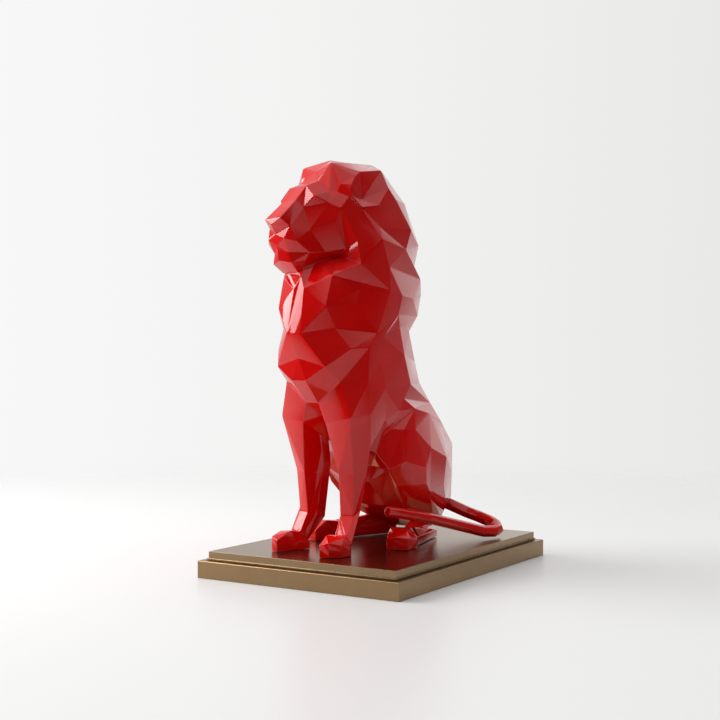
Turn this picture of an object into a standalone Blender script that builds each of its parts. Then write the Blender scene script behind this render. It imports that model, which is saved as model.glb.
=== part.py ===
"""Geometric seated lion on a two-step bronze plinth, as a table sculpture.

Millimetres are used in the tables below and metres in the scene. The plinth's underside is centred on the
origin, +X is the lion's left and the lion faces -Y. The lion is one casting of flat facets, mirrored about
its own mid-plane. Body and head each have a frame of their own, because the body stands a little turned on
the plinth and the head looks further round. A corner of a facet is a sight: the two pixels where the
photograph shows it, and about how far it is left of the mid-plane. It then slides a little along its sight
line, so that the facets with four corners or more come out flat.
"""

import math

import bmesh
import bpy
from mathutils import Vector
from mathutils.geometry import normal as facet_normal

MM = 0.001

# Plinth
PLINTH_WIDTH = 220.0
PLINTH_LENGTH = 300.0
SLAB_HEIGHT = 16.3
PLATE_TOP = 24.6
PLATE_INSET = 6.4
LIP_HEIGHT = 1.6
GROOVE_HEIGHT = 1.2
GROOVE_DEPTH = 1.2
EDGE_BEVEL = 0.9
GAP = 0.3

# Stance of the lion on the plinth
BODY_TURN = 6.0
BODY_SHIFT = -4.2
HEAD_TURN = 14.0
HEAD_PIVOT_AHEAD = 30.0
PAW_UNDERSIDE = PLATE_TOP + GAP

# Viewpoint of the photograph, from which the sights are taken
VIEW_TURN = 32.19
VIEW_DISTANCE = 1227.6
VIEW_ACROSS = -19.9
VIEW_HEIGHT = 204.8
VIEW_LENS_PIXELS = 1232.7
PHOTO_CENTRE = 360.0

# Flattening of the facets: how firmly a corner keeps its first place, and how often all are moved
CORNER_HOLD = 0.3
FIRM_HOLD = 6.0
FLATTENING_ROUNDS = 150
SAME_CORNER = 0.001


class Stance:
    """Upright frame with a mid-plane: side is to the lion's left, ahead is the way it faces."""

    def __init__(self, origin, turn):
        angle = math.radians(turn)
        self.origin = Vector(origin)
        self.left = Vector((math.cos(angle), -math.sin(angle), 0.0))
        self.ahead = Vector((-math.sin(angle), -math.cos(angle), 0.0))

    def at(self, side, ahead, up):
        """Point at so many millimetres left, ahead and up."""
        return self.origin + self.left * side + self.ahead * ahead + Vector((0.0, 0.0, up))

    def seen(self, across, down, side):
        """Point seen at a pixel of the photograph, on the plane at that distance left."""
        angle = math.radians(VIEW_TURN)
        inward = Vector((-math.sin(angle), math.cos(angle), 0.0))
        right = Vector((math.cos(angle), math.sin(angle), 0.0))
        eye = -inward * VIEW_DISTANCE + right * VIEW_ACROSS + Vector((0.0, 0.0, VIEW_HEIGHT))
        sight = inward + right * ((across - PHOTO_CENTRE) / VIEW_LENS_PIXELS)
        sight.z = (PHOTO_CENTRE - down) / VIEW_LENS_PIXELS
        reach = (side - (eye - self.origin).dot(self.left)) / sight.dot(self.left)
        return eye + sight * reach

    def mirrored(self, point):
        """Twin of a point across the mid-plane."""
        return point - self.left * (2.0 * (point - self.origin).dot(self.left))


class Sight:
    """Corner seen in the photograph, which can slide along its sight line."""

    def __init__(self, stance, across, down, side, hold):
        self.stance = stance
        self.foot = stance.seen(across, down, 0.0)
        self.slide = stance.seen(across, down, 1.0) - self.foot
        self.first_side = side
        self.side = side
        self.hold = hold

    def place(self):
        """Left corner, found through its twin where the right one is seen."""
        point = self.foot + self.slide * self.side
        return self.stance.mirrored(point) if self.first_side < 0.0 else point

    def slides(self):
        """Whether the corner is one of the left ones away from the mid-plane."""
        return self.first_side > 0.0


BODY = Stance((BODY_SHIFT, 0.0, 0.0), BODY_TURN)
HEAD = Stance(BODY.at(0.0, HEAD_PIVOT_AHEAD, 0.0), BODY_TURN + HEAD_TURN)

# Face: corner, pixels across and down, side
FACE = {
    "nose_top": (280.1, 217.4, 13),
    "nose_mid": (271.3, 225.0, 0),
    "nose_base": (275.4, 233.9, 0),
    "nostril": (290.1, 225.9, 17),
    "bridge": (295.4, 200.1, 8),
    "brow": (306.3, 185.3, 14),
    "lid": (314.2, 195.2, 28),
    "eye_in": (303.2, 207.5, 15),
    "eye_out": (329.0, 202.6, 34),
    "cheek_in": (310.3, 229.5, 25),
    "cheek_out": (335.2, 221.3, 37),
    "temple_in": (329.7, 191.5, 28),
    "temple": (337.6, 192.1, 34),
    "lip_front": (283.8, 237.8, 12.8),
    "lip_side": (296.2, 240.8, 23),
    "lip_low": (287.8, 252.2, 11),
    "philtrum": (276.7, 244.9, 0),
    "mouth": (309.5, 252.4, 24),
    "jaw": (325.5, 252.0, 30),
    "jaw_back": (345.3, 249.2, 37),
    "jaw_low": (336.5, 256.3, 26),
    "jaw_mid": (315.5, 262.6, 20),
    "jaw_under": (303.4, 267.3, 16),
    "chin_mid": (277.8, 250.8, 0),
    "chin_low": (291.4, 262.8, 15),
    "chin_tip": (278.4, 260.6, 0),
    "throat": (298.1, 272.4, 12),
}

# Crown of the head and the ear
CROWN = {
    "tuft_in": (317.6, 180.8, 12),
    "tuft_valley": (315.5, 171.9, 0),
    "crown": (331.1, 162.4, 23),
    "top_mid": (330.0, 160.2, 0),
    "top_back": (352.0, 163.3, 0),
    "top_end": (372.0, 165.0, 0),
    "tuft_out": (341.1, 183.7, 36),
    "ear_tip": (354.7, 176.5, 38),
    "ear_fore": (351.6, 184.0, 44),
    "ear_foot": (351.0, 195.0, 45),
    "ear_heel": (362.0, 207.0, 48),
    "ear_top": (360.0, 171.4, 38),
    "ear_back": (380.8, 170.3, 36),
    "ear_rear": (388.5, 188.0, 42),
    "ear_deep": (361.5, 199.9, 41),
    "ear_low": (378.9, 205.0, 49),
    "mane_fore": (348.9, 196.7, 43),
}

# Upper mane, which turns with the head
MANE_TOP = {
    "mane_cheek": (340.5, 207.5, 40),
    "mane_ear": (362.2, 208.5, 48),
    "mane_notch": (380.1, 226.9, 52),
    "mane_flick": (395.9, 199.5, 40),
    "mane_back": (411.4, 230.3, 42),
    "nape_top": (385.2, 176.3, 12),
    "nape_high": (404.7, 204.0, 18),
}

# Lower mane and bib, which stay with the body
MANE_LOW = {
    "ruff": (382.6, 238.8, 54),
    "ruff_back": (406.2, 249.4, 46),
    "nape_mid": (413.4, 229.5, 24),
    "nape_low": (418.7, 246.0, 24),
    "nape_dip": (414.5, 266.3, 26),
    "wither": (420.7, 279.6, 30),
    "wither_low": (421.1, 294.5, 27),
    "ruff_low": (389.6, 267.2, 55),
    "gill_high": (357.9, 240.7, 42),
    "gill_low": (361.3, 263.4, 46),
    "collar": (332.5, 275.3, 30),
    "collar_in": (303.9, 288.0, 7.7),
    "collar_mid": (301.2, 275.6, 0),
    "bib_top": (325.8, 306.4, 29),
    "bib_in": (360.5, 288.3, 42),
    "bib_out": (390.8, 290.4, 54),
    "bib_knot": (356.0, 304.3, 42),
    "tuft_side": (402.5, 295.9, 50),
    "tuft_rear": (413.2, 298.5, 42),
    "tuft_heel": (398.5, 315.0, 50),
    "tuft_end": (417.6, 316.2, 28),
    "tuft_tip": (409.2, 331.8, 32),
    "bib_front": (300.0, 333.5, 8.7),
    "bib_side": (335.5, 328.3, 32),
    "bib_heel": (377.5, 333.0, 50),
    "bib_edge": (351.5, 348.6, 45),
    "bib_low": (325.0, 367.0, 28.5),
    "bib_point": (298.5, 358.6, 0),
}

# Chest, shoulder and flank below the mane
TRUNK = {
    "breast": (305.7, 380.9, 8.7),
    "breast_low": (318.3, 402.8, 7.7),
    "keel": (322.5, 415.5, 0),
    "point": (339.8, 382.0, 32.7),
    "shoulder": (369.2, 347.5, 48),
    "shoulder_back": (383.9, 337.0, 50),
    "blade": (404.6, 355.2, 44),
    "blade_low": (381.5, 361.5, 50),
    "arm": (368.3, 382.0, 47),
    "arm_back": (385.5, 387.8, 49),
    "loin": (411.0, 384.2, 40),
    "loin_low": (404.1, 398.8, 44),
    "loin_tip": (399.5, 410.6, 46),
    "scruff": (397.2, 319.2, 45),
    "scruff_low": (399.8, 327.0, 43),
    "flank": (391.0, 429.0, 38),
    "flank_low": (382.0, 436.0, 34),
    "back_high": (414.9, 361.6, 18),
    "back_mid": (419.5, 383.0, 18),
    "back_low": (430.5, 403.0, 18),
}

# Foreleg, corners from the shoulder down
FORELEG = {
    "elbow_in": (325.2, 422.8, 14.1),
    "elbow_fore": (350.3, 418.6, 42),
    "elbow_out": (370.8, 415.0, 46),
    "elbow_back": (385.8, 420.5, 45),
    "calf": (370.6, 448.0, 43),
    "knee_in": (338.5, 474.8, 21),
    "knee_fore": (353.3, 473.6, 34.6),
    "knee_out": (366.8, 472.8, 40),
    "ankle_in": (340.1, 515.0, 20.4),
    "ankle_fore": (353.4, 516.0, 32),
    "ankle_out": (360.6, 511.0, 37.3),
    "pastern_in": (334.8, 535.4, 22.5),
    "pastern_fore": (346.4, 537.5, 33.3),
    "pastern_out": (351.9, 544.0, 38.5),
    "knee_inner": (323.0, 472.0, -17),
    "knee_deep": (331.0, 462.0, -22),
    "ankle_inner": (317.3, 513.5, -17),
    "ankle_deep": (325.0, 516.6, -20),
}

# Facets of the head and mane, by their corners. A leading minus is the twin on the right.
BUST_FACETS = """
    nose_top -nose_top -bridge bridge
    bridge -bridge -brow brow
    brow -brow -tuft_in tuft_in
    tuft_in -tuft_in tuft_valley
    tuft_in tuft_valley crown
    tuft_in crown tuft_out temple temple_in
    crown ear_tip tuft_out
    tuft_out ear_tip ear_fore
    tuft_out ear_fore ear_foot mane_fore temple
    brow tuft_in temple_in lid
    lid temple_in temple eye_out
    temple mane_fore mane_cheek eye_out
    brow lid eye_in
    lid eye_out eye_in
    brow eye_in bridge
    nose_top bridge eye_in cheek_in nostril
    eye_in eye_out cheek_out cheek_in
    eye_out mane_cheek cheek_out
    cheek_in cheek_out jaw_back jaw
    cheek_in jaw mouth lip_side
    nostril cheek_in lip_side
    nostril lip_side lip_front
    lip_side mouth lip_low
    lip_front lip_side lip_low
    lip_front lip_low philtrum
    nose_base nostril lip_front
    nose_base lip_front philtrum
    nose_top nostril nose_base nose_mid
    nose_top -nose_top nose_mid
    philtrum lip_low chin_mid
    chin_mid lip_low chin_low chin_tip
    lip_low mouth chin_low
    chin_low mouth jaw_under throat
    chin_tip chin_low throat
    chin_tip throat -throat
    mouth jaw jaw_low jaw_mid
    mouth jaw_mid jaw_under
    jaw jaw_back jaw_low
    throat -throat collar_mid
    throat jaw_under collar_mid
    collar_mid jaw_under collar_in
    jaw_under jaw_mid collar_in
    jaw_mid collar collar_in
    collar bib_top collar_in
    jaw_mid jaw_low collar
    jaw_low gill_low collar
    jaw_low jaw_back gill_high gill_low
    cheek_out mane_cheek jaw_back
    mane_cheek gill_high jaw_back
    mane_cheek ruff gill_low gill_high
    mane_cheek mane_ear ruff
    mane_fore mane_ear mane_cheek
    ear_foot ear_heel mane_ear mane_fore
    ear_heel ear_low mane_ear
    ear_tip ear_top ear_deep ear_foot ear_fore
    ear_top ear_back ear_deep
    ear_back ear_rear ear_deep
    ear_rear ear_low ear_deep
    ear_deep ear_low ear_heel
    ear_foot ear_deep ear_heel
    mane_ear ear_low mane_notch
    mane_ear mane_notch ruff
    ear_low mane_flick mane_back mane_notch
    ear_rear mane_flick ear_low
    mane_notch mane_back ruff_back
    mane_notch ruff_back ruff
    ruff ruff_back ruff_low
    ruff_back wither ruff_low
    gill_low ruff ruff_low
    gill_low ruff_low bib_out
    collar gill_low bib_out
    ruff_low wither tuft_side
    ruff_low tuft_side bib_out
    collar bib_out bib_in
    collar bib_in bib_top
    bib_top bib_in bib_knot
    bib_in bib_out bib_knot
    bib_out tuft_side tuft_heel
    bib_out tuft_heel bib_heel
    bib_knot bib_out bib_heel
    bib_top bib_knot bib_heel bib_side
    tuft_side wither wither_low tuft_rear
    tuft_side tuft_rear tuft_heel
    tuft_rear tuft_end tuft_heel
    tuft_rear wither_low tuft_end
    tuft_heel tuft_end tuft_tip
    collar_in bib_top bib_front
    bib_top bib_side bib_front
    bib_front bib_side bib_low
    bib_side bib_edge bib_low
    bib_side bib_heel bib_edge
    bib_front bib_low bib_point -bib_low -bib_front
    crown tuft_valley top_mid
    crown top_mid top_back
    crown top_back top_end ear_top ear_tip
    ear_top top_end ear_back
    top_end -nape_top nape_top
    top_end nape_top ear_back
    ear_back nape_top ear_rear
    nape_top nape_high mane_flick ear_rear
    nape_top -nape_top -nape_high nape_high
    nape_high nape_mid mane_back mane_flick
    nape_high -nape_high -nape_mid nape_mid
    mane_back nape_mid nape_low
    mane_back nape_low ruff_back
    nape_mid -nape_mid -nape_low nape_low
    ruff_back nape_low nape_dip
    nape_low -nape_low -nape_dip nape_dip
    ruff_back nape_dip wither
    nape_dip -nape_dip -wither wither
    wither -wither -wither_low wither_low
    wither_low -wither_low -tuft_end tuft_end
    tuft_end -tuft_end -tuft_tip tuft_tip
"""

# The front of the bib is creased to one side of the middle
BIB_FRONT_FACETS = """
    collar_mid collar_in bib_front -bib_front
    collar_mid -bib_front -collar_in
"""

TRUNK_FACETS = """
    bib_point bib_low breast
    bib_point breast -breast
    breast bib_low point breast_low
    bib_low bib_edge shoulder point
    bib_edge bib_heel shoulder
    bib_heel shoulder_back shoulder
    bib_heel tuft_heel scruff shoulder_back
    scruff scruff_low blade shoulder_back
    tuft_heel tuft_tip scruff_low scruff
    scruff_low tuft_tip blade
    tuft_tip back_high blade
    tuft_tip -tuft_tip -back_high back_high
    shoulder shoulder_back blade blade_low
    shoulder blade_low arm
    blade_low blade arm_back arm
    blade loin arm_back
    arm_back loin loin_low loin_tip
    blade back_high loin
    loin back_high back_mid
    loin back_mid back_low
    loin back_low loin_low
    point shoulder arm
    breast -breast -breast_low breast_low
    breast_low -breast_low keel
    point arm elbow_fore
    arm elbow_out elbow_fore
    arm arm_back elbow_out
    arm_back elbow_back elbow_out
    breast_low point elbow_fore elbow_in
    elbow_in elbow_fore knee_in
    elbow_fore knee_fore knee_in
    elbow_fore elbow_out calf knee_out knee_fore
    elbow_out elbow_back calf
    calf elbow_back knee_rear
    calf knee_rear knee_out
    knee_in knee_fore ankle_fore ankle_in
    knee_fore knee_out ankle_fore
    knee_out ankle_out ankle_fore
    knee_out knee_rear ankle_rear ankle_out
    keel breast_low elbow_in
    keel elbow_in armpit
    elbow_in knee_in knee_inner armpit
    knee_in ankle_in ankle_inner knee_inner
    armpit knee_inner knee_deep
    knee_inner ankle_inner ankle_deep knee_deep
    armpit knee_deep knee_rear
    armpit knee_rear elbow_back
    knee_deep ankle_deep ankle_rear knee_rear
    ankle_in ankle_fore pastern_fore pastern_in
    ankle_fore ankle_out pastern_out pastern_fore
    ankle_out ankle_rear heel_out pastern_out
    ankle_rear ankle_deep heel_in heel_out
    ankle_in pastern_in ankle_inner
    pastern_in root_in heel_in ankle_inner
    ankle_inner heel_in ankle_deep
    pastern_in pastern_fore root_fore root_in
    pastern_fore pastern_out root_out root_fore
    pastern_out heel_out root_out
    root_in root_fore root_out heel_out heel_in
    keel armpit -armpit
    elbow_back arm_back loin_tip flank
    elbow_back flank flank_low
    elbow_back flank_low belly_side
    elbow_back belly_side armpit
    belly_side belly_low armpit
    armpit belly_low -belly_low -armpit
    loin_low hip loin_tip
    loin_low back_low hip
    loin_tip hip flank
    back_mid -back_mid -back_low back_low
    back_high -back_high -back_mid back_mid
"""

HAUNCH_FACETS = """
    back_low croup hip_back hip
    back_low -back_low -croup croup
    croup -croup -rump_back rump_back
    rump_back -rump_back -rump_mid rump_mid
    rump_mid -rump_mid -rump_end rump_end
    rump_end -rump_end -seat_mid seat_mid
    croup rump_back hip_back
    hip hip_back thigh_top
    hip_back thigh_back thigh_high thigh_top
    hip_back rump_back thigh_back
    thigh_back rump_back rump_edge
    rump_back rump_mid rump_edge
    thigh_back rump_edge rump_side
    rump_side rump_edge rump_foot
    rump_edge rump_mid rump_end rump_foot
    rump_foot rump_end seat_mid seat_back
    flank hip thigh_web
    hip thigh_top thigh_web
    thigh_web thigh_top thigh_side
    thigh_top thigh_high thigh_mid thigh_side
    thigh_side thigh_mid thigh_rear thigh_under
    thigh_high thigh_back rump_side rump_heel thigh_rear thigh_mid
    rump_side rump_foot rump_heel
    rump_heel rump_foot seat_back seat
    thigh_under thigh_rear rump_heel seat
    shin_top flank thigh_web knee
    knee thigh_web thigh_side
    knee thigh_side thigh_under shin_mid
    shin_mid thigh_under seat shin_foot
    flank_low flank shin_top
    flank_low shin_top knee belly_side
    belly_side knee belly_low
    belly_low knee groin
    groin knee groin_low
    groin_low knee shin_side
    knee shin_mid shin_foot foot_side shin_side
    groin_low shin_side foot_side crotch
    belly_low groin -groin -belly_low
    groin groin_low -groin_low -groin
    groin_low crotch -crotch -groin_low
    crotch ham_in -ham_in -crotch
    crotch foot_side ham_in
    foot_side shin_foot ham_out ham_in
    ham_in ham_out hock
    shin_foot seat ham_out
    ham_out seat hock
    hock seat seat_back heel_tuck
    ham_in hock heel_tuck
    ham_in heel_tuck -heel_tuck -ham_in
    heel_tuck seat_back seat_mid
    heel_tuck seat_mid -seat_mid -heel_tuck
"""

# Corners that keep their sides, as they make the lion's right outline or are seen edge-on at its back
FIRM_CORNERS = """
    nose_top nostril brow lid lip_front lip_side lip_low chin_low throat crown collar bib_top bib_side
    bib_edge bib_low point elbow_fore knee_fore ankle_out pastern_fore shin_mid
    nape_top nape_high nape_mid nape_low nape_dip croup back_low
""".split()

# Corners out of the photograph's sight: side, ahead and up in the body's frame
HIDDEN = {
    "armpit": (10, 62, 128),
    "knee_rear": (34, 62, 112),
    "ankle_rear": (30, 68, 62),
    "heel_out": (35, 87, 29),
    "heel_in": (20, 86, 29),
    "root_in": (24, 99, 29),
    "root_fore": (33, 101, 29),
    "root_out": (39, 93, 29),
    "crotch": (14, 4.5, 61),
    "ham_in": (20, -12, 55),
    "ham_out": (36, -20, 49.5),
    "hock": (30, -29, 44),
    "heel_tuck": (24, -56, 33),
    "seat_mid": (10, -88, 42),
}

# Haunch: its outer side, its shin, and the groin that is seen between foreleg and shin
HAUNCH = {
    "hip": (415.0, 408.3, 44),
    "hip_back": (429.2, 413.3, 36),
    "thigh_web": (403.7, 429.7, 46),
    "thigh_top": (415.8, 430.3, 51),
    "thigh_high": (431.3, 447.8, 52),
    "thigh_back": (446.7, 457.0, 44),
    "thigh_mid": (426.0, 467.3, 57),
    "thigh_side": (405.8, 461.6, 54),
    "thigh_under": (412.1, 485.0, 53),
    "thigh_rear": (426.7, 483.4, 55),
    "rump_side": (444.0, 484.5, 46),
    "rump_heel": (430.0, 491.3, 51),
    "rump_foot": (446.4, 505.0, 32),
    "rump_edge": (451.8, 471.0, 30),
    "seat": (432.4, 512.0, 36),
    "seat_back": (442.0, 515.3, 28),
    "croup": (441.0, 421.0, 18),
    "rump_back": (452.4, 443.5, 16),
    "rump_mid": (452.2, 471.5, 14),
    "rump_end": (451.0, 497.0, 14),
    "shin_top": (385.2, 438.3, 35),
    "knee": (388.5, 470.0, 36),
    "shin_mid": (397.0, 486.5, 41),
    "shin_foot": (405.6, 506.6, 40),
    "shin_side": (393.8, 491.0, 34),
    "foot_side": (403.3, 507.0, 34),
    "belly_side": (375.9, 453.3, 30),
    "belly_low": (371.0, 465.5, 16),
    "groin": (369.3, 481.2, 14),
    "groin_low": (380.2, 498.3, 14),
}

# Paws and instep in the body's frame: side, ahead and top of the wall's corners, then the crest
FOREPAW_WALL = ((25.6, 119.4, 36.2), (34.7, 116.6, 38.9), (41.9, 106.7, 35.9), (42.4, 93.9, 35.9),
                (36, 85, 35), (17, 82, 31.7))
FOREPAW_CREST = ((21.8, 104, 44), (38.8, 100, 42.2), (32, 86, 42), (22, 86, 40))
HIND_PAW_WALL = ((44, 42, 35.3), (64, 34.6, 36.2), (60.6, 15.8, 36), (50, -0.4, 34), (35, 8, 34))
HIND_PAW_CREST = ((54.3, 38.6, 37.2), (39.5, 30, 45), (55.5, 26, 43.9), (46, 4, 42), (39, 9, 42))
INSTEP_WALL = ((54.5, 5.5, 34), (37.5, 10.5, 34), (32, -60, 32), (17, -57, 32))
INSTEP_CREST = ((50, 4, 42), (41, 8, 43), (32, -27, 46), (24, -27, 46.5), (28, -58, 36), (21, -56, 37))
INSTEP_LIFT = 0.5

# Tail: middle line in world millimetres from the root, and its six-sided section
TAIL_LINE = (
    (8, 90, 60), (22, 100, 54), (44, 104, 45.5), (58, 104.5, 41.5), (70, 102, 38.5), (80, 97, 35.5),
    (87, 88, 32.5), (87, 79, 31.8), (81, 67, 32.5), (72, 48, 38), (64, 22, 45), (56, -2, 51.5),
    (48, -22, 56), (42, -38, 59.5), (37.5, -49, 61.5),
)
TAIL_ROOT_RADIUS = 6.9
TAIL_TIP_RADIUS = 5.3
TAIL_SIDES = 6
TAIL_TWIST = 30.0


def all_sights():
    """Every corner seen in the photograph."""
    sights = {}
    for stance, table in ((HEAD, FACE), (HEAD, CROWN), (HEAD, MANE_TOP), (BODY, MANE_LOW), (BODY, TRUNK),
                          (BODY, FORELEG), (BODY, HAUNCH)):
        for name, (across, down, side) in table.items():
            hold = FIRM_HOLD if name in FIRM_CORNERS else CORNER_HOLD
            sights[name] = Sight(stance, across, down, side, hold)
    return sights


def corner_places(sights):
    """Left and right corners in millimetres."""
    corners = {}
    for name, sight in sights.items():
        corners[name] = sight.place()
        corners["-" + name] = sight.stance.mirrored(sight.place())
    for name, place in HIDDEN.items():
        corners[name] = BODY.at(*place)
        corners["-" + name] = BODY.mirrored(corners[name])
    return corners


def flatten(sights, facets):
    """Slide the corners along their sight lines until the facets are nearly flat."""
    wide = [names for names in facets if len(names) > 3]
    sliding = [name for name, sight in sights.items() if sight.slides()]
    for _ in range(FLATTENING_ROUNDS):
        corners = corner_places(sights)
        pull = {name: sights[name].hold * (sights[name].first_side - sights[name].side) for name in sliding}
        grip = {name: sights[name].hold for name in sliding}
        for names in wide:
            points = [corners[name] for name in names]
            centre = sum(points, Vector()) / len(points)
            across = facet_normal(points)
            for name, point in zip(names, points):
                if name in pull:
                    lean = sights[name].slide.dot(across)
                    pull[name] -= (point - centre).dot(across) * lean
                    grip[name] += lean * lean
        for name in sliding:
            sights[name].side += pull[name] / grip[name]


def twin(name):
    """Name of the same corner on the other side."""
    return name[1:] if name.startswith("-") else "-" + name


def all_facets():
    """Corner names of each facet, left and right."""
    facets = [row.split() for row in BIB_FRONT_FACETS.strip().splitlines()]
    for listing in (BUST_FACETS, TRUNK_FACETS, HAUNCH_FACETS):
        for row in listing.strip().splitlines():
            names = row.split()
            facets += [names, [twin(name) for name in names]]
    return facets


def add_object(name, mesh_builder):
    """New object at the origin whose mesh a function fills."""
    mesh = bpy.data.meshes.new(name)
    shape = bmesh.new()
    mesh_builder(shape)
    bmesh.ops.recalc_face_normals(shape, faces=shape.faces)
    shape.to_mesh(mesh)
    shape.free()
    thing = bpy.data.objects.new(name, mesh)
    bpy.context.scene.collection.objects.link(thing)
    return thing


def skin_builder():
    """Closed skin of head, mane, trunk, forelegs and haunches."""
    sights = all_sights()
    facets = all_facets()
    flatten(sights, facets)
    corners = corner_places(sights)

    def build(shape):
        verts = {}
        for name, point in corners.items():
            middle = name.lstrip("-")
            if (point - corners[middle]).length < SAME_CORNER and middle in verts:
                verts[name] = verts[middle]
            else:
                verts[name] = shape.verts.new(point * MM)
        for names in facets:
            around = [verts[name] for name in names]
            if not shape.faces.get(around):
                shape.faces.new(around)
        bmesh.ops.triangulate(shape, faces=shape.faces)

    return build


def hull_builder(points):
    """Closed hull of some points."""
    def build(shape):
        verts = [shape.verts.new(point) for point in points]
        hull = bmesh.ops.convex_hull(shape, input=verts)
        spare = [item for item in hull["geom_interior"] if isinstance(item, bmesh.types.BMVert)]
        bmesh.ops.delete(shape, geom=spare, context="VERTS")

    return build


def foot_points(underside, wall, crest):
    """Corners of a foot: its wall from the underside up, and its crest."""
    points = list(crest)
    for side, ahead, top in wall:
        points += [(side, ahead, underside), (side, ahead, top)]
    return points


def both_sides(name, places):
    """Left and right hulls from places in the body's frame."""
    points = [BODY.at(*place) for place in places]
    left = add_object(name + "_left", hull_builder([point * MM for point in points]))
    right = add_object(name + "_right", hull_builder([BODY.mirrored(point) * MM for point in points]))
    return [left, right]


def tail_builder(shape):
    """Six-sided tail swept along its line, thinner and a little twisted towards its tip."""
    line = [Vector(place) * MM for place in TAIL_LINE]
    rings = []
    for index, point in enumerate(line):
        before = line[max(index - 1, 0)]
        after = line[min(index + 1, len(line) - 1)]
        way = (after - before).normalized()
        out = way.cross(Vector((0.0, 0.0, 1.0))).normalized()
        rise = out.cross(way)
        along = index / (len(line) - 1)
        radius = TAIL_ROOT_RADIUS + (TAIL_TIP_RADIUS - TAIL_ROOT_RADIUS) * along
        ring = []
        for step in range(TAIL_SIDES):
            angle = math.tau * step / TAIL_SIDES + math.radians(TAIL_TWIST) * along
            offset = out * math.cos(angle) + rise * math.sin(angle)
            ring.append(shape.verts.new(point + offset * radius * MM))
        rings.append(ring)
    for ring, following in zip(rings, rings[1:]):
        for step in range(TAIL_SIDES):
            beside = (step + 1) % TAIL_SIDES
            shape.faces.new((ring[step], ring[beside], following[beside], following[step]))
    shape.faces.new(rings[0])
    shape.faces.new(rings[-1])


def unite(body, others):
    """Join closed pieces into one with exact unions."""
    for other in others:
        union = body.modifiers.new("Union", "BOOLEAN")
        union.operation = "UNION"
        union.solver = "EXACT"
        union.object = other
        depsgraph = bpy.context.evaluated_depsgraph_get()
        merged = bpy.data.meshes.new_from_object(body.evaluated_get(depsgraph))
        body.modifiers.clear()
        body.data = merged
        bpy.data.objects.remove(other)
    body.data.name = body.name


def make_lion():
    """The lion as one closed casting."""
    lion = add_object("lion", skin_builder())
    pieces = both_sides("forepaw", foot_points(PAW_UNDERSIDE, FOREPAW_WALL, FOREPAW_CREST))
    pieces += both_sides("hind_paw", foot_points(PAW_UNDERSIDE, HIND_PAW_WALL, HIND_PAW_CREST))
    pieces += both_sides("instep", foot_points(PAW_UNDERSIDE + INSTEP_LIFT, INSTEP_WALL, INSTEP_CREST))
    pieces.append(add_object("tail", tail_builder))
    unite(lion, pieces)
    return lion


def block_builder(half_width, half_length, tiers):
    """Stack of upright rectangles: inset and height of each, from the bottom up."""
    def build(shape):
        rings = []
        for inset, up in tiers:
            across = (half_width - inset) * MM
            along = (half_length - inset) * MM
            places = ((-across, -along), (across, -along), (across, along), (-across, along))
            rings.append([shape.verts.new((x, y, up * MM)) for x, y in places])
        shape.faces.new(rings[0])
        shape.faces.new(rings[-1])
        for ring, following in zip(rings, rings[1:]):
            for step in range(4):
                beside = (step + 1) % 4
                shape.faces.new((ring[step], ring[beside], following[beside], following[step]))

    return build


def make_slab():
    """Lower step of the plinth, with eased edges."""
    tiers = ((EDGE_BEVEL, 0.0), (0.0, EDGE_BEVEL), (0.0, SLAB_HEIGHT - EDGE_BEVEL), (EDGE_BEVEL, SLAB_HEIGHT))
    return add_object("plinth_slab", block_builder(PLINTH_WIDTH / 2, PLINTH_LENGTH / 2, tiers))


def make_plate():
    """Upper step of the plinth, with a lip and a groove under its face."""
    foot = SLAB_HEIGHT + GAP
    lip_top = foot + LIP_HEIGHT
    groove_top = lip_top + GROOVE_HEIGHT
    tiers = (
        (0.0, foot), (0.0, lip_top), (GROOVE_DEPTH, lip_top), (GROOVE_DEPTH, groove_top), (0.0, groove_top),
        (0.0, PLATE_TOP - EDGE_BEVEL), (EDGE_BEVEL, PLATE_TOP),
    )
    width = PLINTH_WIDTH / 2 - PLATE_INSET
    length = PLINTH_LENGTH / 2 - PLATE_INSET
    return add_object("plinth_plate", block_builder(width, length, tiers))


def paint(thing, name, colour, roughness, metallic):
    """Give an object a material of its own."""
    material = bpy.data.materials.new(name)
    material.use_nodes = True
    shader = material.node_tree.nodes["Principled BSDF"]
    shader.inputs["Base Color"].default_value = (*colour, 1.0)
    shader.inputs["Roughness"].default_value = roughness
    shader.inputs["Metallic"].default_value = metallic
    thing.data.materials.clear()
    thing.data.materials.append(material)


def main():
    """Model the plinth and the lion."""
    for thing in list(bpy.data.objects):
        bpy.data.objects.remove(thing)
    paint(make_lion(), "red_lacquer", (0.45, 0.008, 0.006), 0.08, 0.0)
    paint(make_slab(), "slab_bronze", (0.36, 0.24, 0.15), 0.35, 1.0)
    paint(make_plate(), "plate_bronze", (0.36, 0.24, 0.15), 0.3, 1.0)


main()
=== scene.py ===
"""Faceted seated lion in red lacquer on a two-step bronze plinth, dressed for a studio picture.

Sizes are metres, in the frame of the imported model: the plinth's underside is centred on the origin, the lion
faces -Y and +Z is up.
"""

import math

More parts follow.
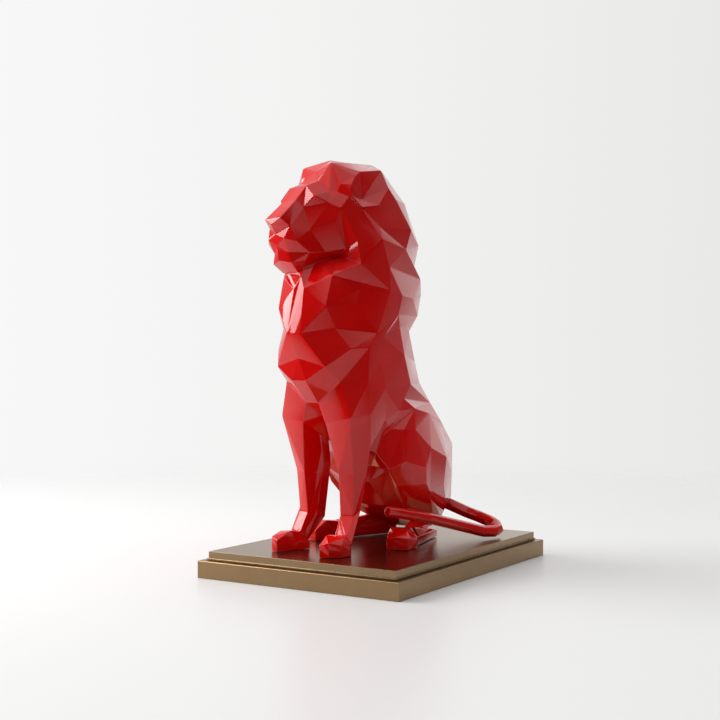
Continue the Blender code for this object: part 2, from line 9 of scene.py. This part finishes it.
import bpy
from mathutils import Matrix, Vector


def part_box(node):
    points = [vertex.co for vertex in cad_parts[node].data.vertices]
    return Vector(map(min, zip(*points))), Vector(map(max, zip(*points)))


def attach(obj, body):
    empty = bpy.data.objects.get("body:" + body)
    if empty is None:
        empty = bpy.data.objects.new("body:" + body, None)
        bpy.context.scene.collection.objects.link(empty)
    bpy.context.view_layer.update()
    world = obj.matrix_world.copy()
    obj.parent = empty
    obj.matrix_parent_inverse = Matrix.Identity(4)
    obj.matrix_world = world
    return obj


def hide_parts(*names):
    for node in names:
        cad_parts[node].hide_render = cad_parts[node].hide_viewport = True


bl_info = {
    "name": "Faceted Lion Sculpture",
    "version": (1, 0, 0),
    "blender": (4, 5, 0),
    "location": "3D View > Sidebar > Lion",
    "description": "Dresses the faceted lion and its plinth and lights them in a studio",
    "category": "Object",
}

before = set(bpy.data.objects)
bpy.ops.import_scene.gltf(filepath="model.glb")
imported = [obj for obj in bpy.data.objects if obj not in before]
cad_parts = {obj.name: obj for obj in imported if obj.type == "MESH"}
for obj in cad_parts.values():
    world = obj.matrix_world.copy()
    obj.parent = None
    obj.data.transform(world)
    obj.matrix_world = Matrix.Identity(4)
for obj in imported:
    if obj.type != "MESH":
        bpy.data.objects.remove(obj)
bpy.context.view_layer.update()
SLAB_LOW, SLAB_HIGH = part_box("plinth_slab")
PLATE_LOW, PLATE_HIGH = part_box("plinth_plate")

FLOOR_RADIUS = 3.0
FLOOR_GAP = 0.0001
FADE_START = 0.3
FADE_END = 1.4
PAPER_ROUGHNESS = 0.32
PAPER_SHINE = 0.25
LIGHT_TARGET = Vector((0.0, 0.0, 0.2))
SOFTBOX_SIZE = (1.25, 0.85)
SOFTBOX_TURN = math.radians(-64.0)
SOFTBOX_RISE = math.radians(27.0)
SOFTBOX_REACH = 1.5

# Greys of the studio from in front of the lion to behind it, from left to right and overhead
ROOM_TONES = ((0.0, 0.05), (0.31, 0.08), (0.37, 0.33), (0.75, 0.6), (1.0, 0.75))
SIDE_TONES = ((0.0, 0.17), (0.5, 0.5), (0.8, 0.66), (0.88, 0.2), (1.0, 0.16))
SIDE_STRENGTH = 2.1
CEILING_TONE = 0.95
CEILING_START = math.sin(math.radians(25.0))
CEILING_END = math.sin(math.radians(45.0))
# Painted light and shade of the backdrop behind the lion, brighter at the left by the softbox and darker to the
# right, and how far to each side they reach
BACKDROP_SHADE_TONES = ((0.0, (0.94, 0.94, 0.94, 1.0)), (0.45, (0.89, 0.89, 0.885, 1.0)), (1.0, (0.81, 0.81, 0.8, 1.0)))
BACKDROP_REACH = 0.3

# Mottling of the surfaces
TINT_START = 0.3
TINT_END = 0.7
BUMP_DEPTH = 0.0002
LACQUER_PEEL = 0.02
LACQUER_IOR = 1.5
BRONZE_GRAIN = 0.05

# Cleaning of the lion's mesh before its edges are rounded
MERGE_DISTANCE = 0.00003
FLAT_ANGLE = math.radians(0.6)

# Steps of the plinth's plate, as in its solid
LIP_HEIGHT = 0.0016
GROOVE_HEIGHT = 0.0012
GROOVE_DEPTH = 0.0012
PLATE_EDGE = 0.0003
LEVEL_TOLERANCE = 0.0001


class LionFinish(bpy.types.PropertyGroup):
    """Lacquer and facet edges of the lion."""

    colour: bpy.props.FloatVectorProperty(
        name="Lacquer", description="Colour of the red lacquer", subtype="COLOR", size=3,
        default=(0.72, 0.003, 0.002), min=0.0, max=1.0)
    edge_round: bpy.props.FloatProperty(
        name="Edge rounding", description="Radius left on the facet edges by the casting and the lacquer",
        default=0.0007, min=0.0, unit="LENGTH")
    edge_angle: bpy.props.FloatProperty(
        name="Edge angle", description="Least angle between two facets that counts as an edge",
        default=math.radians(4.0), subtype="ANGLE")
    gloss: bpy.props.FloatProperty(
        name="Roughness", description="Roughness of the lacquer", default=0.06, min=0.0, max=1.0, subtype="FACTOR")


class PlinthFinish(bpy.types.PropertyGroup):
    """Bronze and edges of the plinth."""

    colour: bpy.props.FloatVectorProperty(
        name="Bronze", description="Colour of the bronze", subtype="COLOR", size=3,
        default=(0.34, 0.22, 0.115), min=0.0, max=1.0)
    dark: bpy.props.FloatVectorProperty(
        name="Dark bronze", description="Colour of the polished plate", subtype="COLOR", size=3,
        default=(0.32, 0.215, 0.12), min=0.0, max=1.0)
    edge_round: bpy.props.FloatProperty(
        name="Edge rounding", description="Radius on the plinth's edges", default=0.0009, min=0.0, unit="LENGTH")


class StudioSetup(bpy.types.PropertyGroup):
    """Camera, paper floor and softbox."""

    turn: bpy.props.FloatProperty(
        name="Camera turn", description="Angle of the camera round the lion from straight ahead",
        default=math.radians(32.19), subtype="ANGLE")
    distance: bpy.props.FloatProperty(
        name="Camera distance", description="Distance of the camera from the plinth's middle",
        default=1.2276, unit="LENGTH")
    across: bpy.props.FloatProperty(
        name="Camera offset", description="Distance of the camera to the right of the plinth's middle",
        default=-0.0199, unit="LENGTH")
    height: bpy.props.FloatProperty(
        name="Camera height", description="Height of the camera", default=0.2048, unit="LENGTH")
    lens: bpy.props.FloatProperty(
        name="Lens", description="Focal length in millimetres on a 36 mm sensor", default=61.635, min=1.0)
    floor: bpy.props.FloatVectorProperty(
        name="Floor", description="Colour of the paper floor", subtype="COLOR", size=3,
        default=(0.84, 0.84, 0.835), min=0.0, max=1.0)
    left_power: bpy.props.FloatProperty(
        name="Left softbox", description="Power of the large softbox at the left", default=22.0, unit="POWER")


# Selecting and shaping

def deselect_all():
    """Leave nothing selected and no object in edit mode."""
    if bpy.context.object and bpy.context.object.mode != "OBJECT":
        bpy.ops.object.mode_set(mode="OBJECT")
    bpy.ops.object.select_all(action="DESELECT")


def make_active(thing):
    """Select one object alone."""
    deselect_all()
    thing.select_set(True)
    bpy.context.view_layer.objects.active = thing


def apply_modifier(thing, kind, **settings):
    """Add a modifier to an object and apply it."""
    make_active(thing)
    modifier = thing.modifiers.new(kind.title(), kind)
    for key, value in settings.items():
        setattr(modifier, key, value)
    bpy.ops.object.modifier_apply(modifier=modifier.name)


def place_in_mesh(thing):
    """Bring an object's place, turn and scale into its mesh."""
    make_active(thing)
    bpy.ops.object.transform_apply(location=True, rotation=True, scale=True)


def select_faces(thing, wanted):
    """Select the faces of the edited mesh whose centre and normal pass a test."""
    bpy.ops.object.mode_set(mode="EDIT")
    bpy.ops.mesh.select_mode(type="FACE")
    bpy.ops.mesh.select_all(action="DESELECT")
    bpy.ops.object.mode_set(mode="OBJECT")
    for face in thing.data.polygons:
        face.select = wanted(face.center, face.normal)
    bpy.ops.object.mode_set(mode="EDIT")


def dress(piece, node, material):
    """Ride the piece on the body in place of a node, with its material."""
    piece.data.materials.clear()
    piece.data.materials.append(material)
    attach(piece, "root")
    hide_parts(node)


# Materials

def new_material(name):
    """Material with its tree, its shader and its output."""
    material = bpy.data.materials.new(name)
    material.use_nodes = True
    tree = material.node_tree
    return material, tree, tree.nodes["Principled BSDF"]


def add_node(tree, kind, place, **settings):
    """Add a node at a place in a tree, with its settings and socket values."""
    node = tree.nodes.new(kind)
    node.location = place
    for key, value in settings.items():
        if key in node.inputs:
            node.inputs[key].default_value = value
        else:
            setattr(node, key, value)
    return node


def mottle_group():
    """Node group: soft clouds with fine grain in them, for metal and lacquer that aren't quite even."""
    group = bpy.data.node_groups.get("mottle")
    if group:
        return group
    group = bpy.data.node_groups.new("mottle", "ShaderNodeTree")
    inputs = (("Cloud Scale", 20.0), ("Grain Scale", 900.0), ("Grain Share", 0.3))
    for name, value in inputs:
        socket = group.interface.new_socket(name=name, in_out="INPUT", socket_type="NodeSocketFloat")
        socket.default_value = value
    group.interface.new_socket(name="Mask", in_out="OUTPUT", socket_type="NodeSocketFloat")
    group.interface.new_socket(name="Height", in_out="OUTPUT", socket_type="NodeSocketFloat")
    entry = group.nodes.new("NodeGroupInput")
    entry.location = (-900, 0)
    leave = group.nodes.new("NodeGroupOutput")
    leave.location = (500, 0)
    place = add_node(group, "ShaderNodeTexCoord", (-900, -250))
    cloud = add_node(group, "ShaderNodeTexNoise", (-600, 150), Detail=6.0, Roughness=0.6)
    grain = add_node(group, "ShaderNodeTexNoise", (-600, -150), Detail=2.0, Roughness=0.5)
    blend = add_node(group, "ShaderNodeMix", (-250, 0), data_type="FLOAT")
    link = group.links.new
    link(place.outputs["Object"], cloud.inputs["Vector"])
    link(place.outputs["Object"], grain.inputs["Vector"])
    link(entry.outputs["Cloud Scale"], cloud.inputs["Scale"])
    link(entry.outputs["Grain Scale"], grain.inputs["Scale"])
    link(entry.outputs["Grain Share"], blend.inputs["Factor"])
    link(cloud.outputs["Fac"], blend.inputs["A"])
    link(grain.outputs["Fac"], blend.inputs["B"])
    link(blend.outputs["Result"], leave.inputs["Mask"])
    link(grain.outputs["Fac"], leave.inputs["Height"])
    return group


def add_mottle(tree, place, cloud_scale, grain_scale, grain_share):
    """Place the mottle group in a material."""
    node = tree.nodes.new("ShaderNodeGroup")
    node.node_tree = mottle_group()
    node.location = place
    node.inputs["Cloud Scale"].default_value = cloud_scale
    node.inputs["Grain Scale"].default_value = grain_scale
    node.inputs["Grain Share"].default_value = grain_share
    return node


def add_ramp(tree, place, stops):
    """Colour ramp with stops of position and colour."""
    ramp = tree.nodes.new("ShaderNodeValToRGB")
    ramp.location = place
    points = ramp.color_ramp.elements
    points[0].position, points[0].color = stops[0]
    points[1].position, points[1].color = stops[-1]
    for position, colour in stops[1:-1]:
        points.new(position).color = colour
    return ramp


def shade(colour, factor):
    """A colour made darker or lighter, with alpha."""
    return tuple(min(1.0, part * factor) for part in colour) + (1.0,)


def tint_stops(colour, dark, light):
    """Ramp stops for a colour made a little darker and a little lighter."""
    return (TINT_START, shade(colour, dark)), (TINT_END, shade(colour, light))


def greys(stops):
    """Ramp stops of position and grey, as position and colour."""
    return tuple((position, (tone, tone, tone, 1.0)) for position, tone in stops)


def mottle_surface(tree, shader, mottle, stops, roughness, relief):
    """Let the mottle vary a shader's colour, roughness and relief."""
    tint = add_ramp(tree, (-400, 200), stops)
    gloss = add_node(tree, "ShaderNodeMapRange", (-400, -50))
    gloss.inputs["To Min"].default_value, gloss.inputs["To Max"].default_value = roughness
    bump = add_node(tree, "ShaderNodeBump", (-400, -320), Strength=relief, Distance=BUMP_DEPTH)
    link = tree.links.new
    link(mottle.outputs["Mask"], tint.inputs["Fac"])
    link(mottle.outputs["Mask"], gloss.inputs["Value"])
    link(mottle.outputs["Height"], bump.inputs["Height"])
    link(tint.outputs["Color"], shader.inputs["Base Color"])
    link(gloss.outputs["Result"], shader.inputs["Roughness"])
    link(bump.outputs["Normal"], shader.inputs["Normal"])


def lacquer_material(finish):
    """High-gloss red lacquer with a faint orange peel."""
    material, tree, shader = new_material("red_lacquer")
    mottle = add_mottle(tree, (-700, 100), 26.0, 420.0, 0.25)
    roughness = (finish.gloss * 0.7, finish.gloss * 1.3)
    mottle_surface(tree, shader, mottle, tint_stops(finish.colour, 0.9, 1.08), roughness, LACQUER_PEEL)
    shader.inputs["IOR"].default_value = LACQUER_IOR
    return material


def bronze_material(name, colour, roughness, spread):
    """Antique bronze, mottled in colour and polish."""
    material, tree, shader = new_material(name)
    mottle = add_mottle(tree, (-700, 100), 34.0, 1100.0, 0.35)
    stops = tint_stops(colour, 1.0 - spread, 1.0 + spread)
    mottle_surface(tree, shader, mottle, stops, (roughness * 0.8, roughness * 1.25), BRONZE_GRAIN)
    shader.inputs["Metallic"].default_value = 1.0
    return material


def paper_material(colour):
    """Satin studio paper, clear towards its rim so that the floor ends nowhere."""
    material, tree, shader = new_material("seamless_paper")
    mottle = add_mottle(tree, (-700, 300), 6.0, 60.0, 0.2)
    tint = add_ramp(tree, (-400, 300), tint_stops(colour, 0.99, 1.0))
    place = add_node(tree, "ShaderNodeTexCoord", (-900, -150))
    reach = add_node(tree, "ShaderNodeVectorMath", (-700, -150), operation="LENGTH")
    fade = add_node(tree, "ShaderNodeMapRange", (-400, -150), interpolation_type="SMOOTHSTEP")
    fade.inputs["From Min"].default_value = FADE_START
    fade.inputs["From Max"].default_value = FADE_END
    fade.inputs["To Min"].default_value = 1.0
    fade.inputs["To Max"].default_value = 0.0
    link = tree.links.new
    link(mottle.outputs["Mask"], tint.inputs["Fac"])
    link(tint.outputs["Color"], shader.inputs["Base Color"])
    link(place.outputs["Object"], reach.inputs[0])
    link(reach.outputs["Value"], fade.inputs["Value"])
    link(fade.outputs["Result"], shader.inputs["Alpha"])
    shader.inputs["Roughness"].default_value = PAPER_ROUGHNESS
    shader.inputs["Specular IOR Level"].default_value = PAPER_SHINE
    return material


# Pieces

class LION_OT_casting(bpy.types.Operator):
    """Dress the lion: facets as cast, with their edges just rounded"""

    bl_idname = "lion.casting"
    bl_label = "Lion casting"

    def execute(self, context):
        finish = context.scene.lion_finish
        lion = bpy.data.objects.new("lion_casting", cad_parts["lion"].data.copy())
        context.scene.collection.objects.link(lion)
        make_active(lion)
        bpy.ops.object.mode_set(mode="EDIT")
        bpy.ops.mesh.select_all(action="SELECT")
        bpy.ops.mesh.remove_doubles(threshold=MERGE_DISTANCE)
        bpy.ops.mesh.dissolve_limited(angle_limit=FLAT_ANGLE)
        bpy.ops.object.mode_set(mode="OBJECT")
        bpy.ops.object.shade_smooth()
        apply_modifier(
            lion, "BEVEL", width=finish.edge_round, segments=2, limit_method="ANGLE",
            angle_limit=finish.edge_angle, harden_normals=True, use_clamp_overlap=False)
        dress(lion, "lion", lacquer_material(finish))
        return {"FINISHED"}


class LION_OT_plinth_slab(bpy.types.Operator):
    """Make the plinth's lower step, a plain slab with eased edges"""

    bl_idname = "lion.plinth_slab"
    bl_label = "Plinth slab"

    def execute(self, context):
        finish = context.scene.plinth_finish
        slab = add_block("bronze_slab", SLAB_LOW, SLAB_HIGH)
        apply_modifier(slab, "BEVEL", width=finish.edge_round, segments=3, harden_normals=True)
        dress(slab, "plinth_slab", bronze_material("slab_bronze", finish.colour, 0.3, 0.1))
        return {"FINISHED"}


class LION_OT_plinth_plate(bpy.types.Operator):
    """Make the plinth's upper step, a plate with a lip and a groove round its foot"""

    bl_idname = "lion.plinth_plate"
    bl_label = "Plinth plate"

    def execute(self, context):
        finish = context.scene.plinth_finish
        lip = Vector((PLATE_HIGH.x, PLATE_HIGH.y, PLATE_LOW.z + LIP_HEIGHT))
        plate = add_block("bronze_plate", PLATE_LOW, lip)
        rises = ((-GROOVE_DEPTH, GROOVE_HEIGHT), (GROOVE_DEPTH, None))
        for inward, rise in rises:
            top = max(vert.co.z for vert in plate.data.vertices)
            select_faces(plate, lambda centre, normal: normal.z > 0.9 and centre.z > top - LEVEL_TOLERANCE)
            bpy.ops.mesh.inset(thickness=abs(inward), depth=0.0, use_outset=inward > 0.0)
            lift = rise or PLATE_HIGH.z - top
            bpy.ops.mesh.extrude_region_move(TRANSFORM_OT_translate={"value": (0.0, 0.0, lift)})
            bpy.ops.object.mode_set(mode="OBJECT")
        apply_modifier(plate, "BEVEL", width=PLATE_EDGE, segments=2, limit_method="ANGLE", harden_normals=True)
        dress(plate, "plinth_plate", bronze_material("plate_bronze", finish.dark, 0.22, 0.12))
        return {"FINISHED"}


def add_block(name, low, high):
    """Box between two corners, with its place in its mesh."""
    deselect_all()
    bpy.ops.mesh.primitive_cube_add(size=1.0, location=(low + high) / 2)
    block = bpy.context.object
    block.name = name
    block.data.name = name
    block.scale = high - low
    place_in_mesh(block)
    bpy.ops.object.shade_smooth()
    return block


# Studio

class LION_OT_studio(bpy.types.Operator):
    """Set up the seamless paper, the softbox, the studio air and the camera"""

    bl_idname = "lion.studio"
    bl_label = "Studio"

    def execute(self, context):
        setup = context.scene.studio_setup
        make_floor(setup)
        make_softbox(setup.left_power)
        make_world(context.scene, setup)
        make_camera(context.scene, setup)
        context.scene.view_settings.view_transform = "Standard"
        return {"FINISHED"}


def view_axes(setup):
    """Directions into the picture and to its right."""
    inward = Vector((-math.sin(setup.turn), math.cos(setup.turn), 0.0))
    right = Vector((math.cos(setup.turn), math.sin(setup.turn), 0.0))
    return inward, right


def make_floor(setup):
    """Round paper floor that fades into the studio air at its rim."""
    deselect_all()
    bpy.ops.mesh.primitive_circle_add(vertices=96, radius=FLOOR_RADIUS, fill_type="NGON")
    floor = bpy.context.object
    floor.name = "seamless_floor"
    floor.location.z = -FLOOR_GAP
    place_in_mesh(floor)
    floor.data.materials.append(paper_material(setup.floor))


def make_softbox(power):
    """One large softbox to the left, aimed at the lion's chest."""
    flat = math.cos(SOFTBOX_RISE)
    way = Vector((math.sin(SOFTBOX_TURN) * flat, -math.cos(SOFTBOX_TURN) * flat, math.sin(SOFTBOX_RISE)))
    light = bpy.data.lights.new("softbox_left", "AREA")
    light.shape = "RECTANGLE"
    light.size, light.size_y = SOFTBOX_SIZE
    light.energy = power
    lamp = bpy.data.objects.new("softbox_left", light)
    lamp.location = LIGHT_TARGET + way * SOFTBOX_REACH
    lamp.rotation_euler = (-way).to_track_quat("-Z", "Y").to_euler()
    bpy.context.scene.collection.objects.link(lamp)


def make_world(scene, setup):
    """Studio air: pale to the camera, and dark in front of the lion and pale behind it in its reflections."""
    inward, right = view_axes(setup)
    world = bpy.data.worlds.new("studio_air")
    world.use_nodes = True
    tree = world.node_tree
    link = tree.links.new
    place = add_node(tree, "ShaderNodeTexCoord", (-1200, 0))
    depth = add_node(tree, "ShaderNodeVectorMath", (-950, 150), operation="DOT_PRODUCT")
    depth.inputs[1].default_value = inward
    across = add_node(tree, "ShaderNodeVectorMath", (-950, -150), operation="DOT_PRODUCT")
    across.inputs[1].default_value = right
    room = add_ramp(tree, (-650, 150), greys(ROOM_TONES))
    depth_range = add_node(tree, "ShaderNodeMapRange", (-800, 150))
    depth_range.inputs["From Min"].default_value = -1.0
    # Backdrop seen by the camera: painted light and shade, brighter at the left and darker at the right
    backdrop = add_ramp(tree, (-650, -150), BACKDROP_SHADE_TONES)
    sides = add_ramp(tree, (-650, 0), greys(SIDE_TONES))
    sides_range = add_node(tree, "ShaderNodeMapRange", (-800, 0))
    sides_range.inputs["From Min"].default_value = -1.0
    lit = add_node(tree, "ShaderNodeVectorMath", (-450, 100), operation="MULTIPLY")
    stronger = add_node(tree, "ShaderNodeVectorMath", (-380, 0), operation="SCALE", Scale=SIDE_STRENGTH)
    across_range = add_node(tree, "ShaderNodeMapRange", (-800, -150))
    across_range.inputs["From Min"].default_value = -BACKDROP_REACH
    across_range.inputs["From Max"].default_value = BACKDROP_REACH
    height = add_node(tree, "ShaderNodeSeparateXYZ", (-950, 400))
    overhead = add_node(tree, "ShaderNodeMapRange", (-800, 400), interpolation_type="SMOOTHSTEP")
    overhead.inputs["From Min"].default_value = CEILING_START
    overhead.inputs["From Max"].default_value = CEILING_END
    ceiling = add_node(tree, "ShaderNodeMix", (-340, 250), data_type="RGBA")
    ceiling.inputs["B"].default_value = (CEILING_TONE, CEILING_TONE, CEILING_TONE, 1.0)
    rays = add_node(tree, "ShaderNodeLightPath", (-650, 450))
    choice = add_node(tree, "ShaderNodeMix", (-300, 0), data_type="RGBA")
    link(place.outputs["Generated"], depth.inputs[0])
    link(place.outputs["Generated"], across.inputs[0])
    link(depth.outputs["Value"], depth_range.inputs["Value"])
    link(depth_range.outputs["Result"], room.inputs["Fac"])
    link(across.outputs["Value"], across_range.inputs["Value"])
    link(across_range.outputs["Result"], backdrop.inputs["Fac"])
    link(rays.outputs["Is Camera Ray"], choice.inputs["Factor"])
    link(across.outputs["Value"], sides_range.inputs["Value"])
    link(sides_range.outputs["Result"], sides.inputs["Fac"])
    link(room.outputs["Color"], lit.inputs[0])
    link(sides.outputs["Color"], lit.inputs[1])
    link(lit.outputs["Vector"], stronger.inputs[0])
    link(place.outputs["Generated"], height.inputs["Vector"])
    link(height.outputs["Z"], overhead.inputs["Value"])
    link(overhead.outputs["Result"], ceiling.inputs["Factor"])
    link(stronger.outputs["Vector"], ceiling.inputs["A"])
    link(ceiling.outputs["Result"], choice.inputs["A"])
    link(backdrop.outputs["Color"], choice.inputs["B"])
    link(choice.outputs["Result"], tree.nodes["Background"].inputs["Color"])
    scene.world = world


def make_camera(scene, setup):
    """Level camera at the photograph's angle."""
    inward, right = view_axes(setup)
    lens = bpy.data.cameras.new("camera")
    lens.sensor_width = 36.0
    lens.lens = setup.lens
    lens.clip_start = 0.01
    camera = bpy.data.objects.new("camera", lens)
    camera.location = -inward * setup.distance + right * setup.across + Vector((0.0, 0.0, setup.height))
    camera.rotation_euler = (math.radians(90.0), 0.0, setup.turn)
    scene.collection.objects.link(camera)
    scene.camera = camera


class LION_PT_sidebar(bpy.types.Panel):
    """Panel with the lion's pieces and their settings"""

    bl_idname = "LION_PT_sidebar"
    bl_label = "Faceted Lion"
    bl_space_type = "VIEW_3D"
    bl_region_type = "UI"
    bl_category = "Lion"

    def draw(self, context):
        layout = self.layout
        for settings in (context.scene.lion_finish, context.scene.plinth_finish, context.scene.studio_setup):
            box = layout.box()
            for key in settings.__annotations__:
                box.prop(settings, key)
        for operator in (LION_OT_casting, LION_OT_plinth_slab, LION_OT_plinth_plate, LION_OT_studio):
            layout.operator(operator.bl_idname)


CLASSES = (
    LionFinish, PlinthFinish, StudioSetup, LION_OT_casting, LION_OT_plinth_slab, LION_OT_plinth_plate,
    LION_OT_studio, LION_PT_sidebar,
)


def register():
    """Add the classes and their settings to Blender."""
    for item in CLASSES:
        bpy.utils.register_class(item)
    bpy.types.Scene.lion_finish = bpy.props.PointerProperty(type=LionFinish)
    bpy.types.Scene.plinth_finish = bpy.props.PointerProperty(type=PlinthFinish)
    bpy.types.Scene.studio_setup = bpy.props.PointerProperty(type=StudioSetup)


def unregister():
    """Take the settings and classes out again."""
    del bpy.types.Scene.studio_setup
    del bpy.types.Scene.plinth_finish
    del bpy.types.Scene.lion_finish
    for item in reversed(CLASSES):
        bpy.utils.unregister_class(item)


def main():
    """Make every piece in order."""
    register()
    bpy.ops.lion.casting()
    bpy.ops.lion.plinth_slab()
    bpy.ops.lion.plinth_plate()
    bpy.ops.lion.studio()


if __name__ == "__main__":
    main()
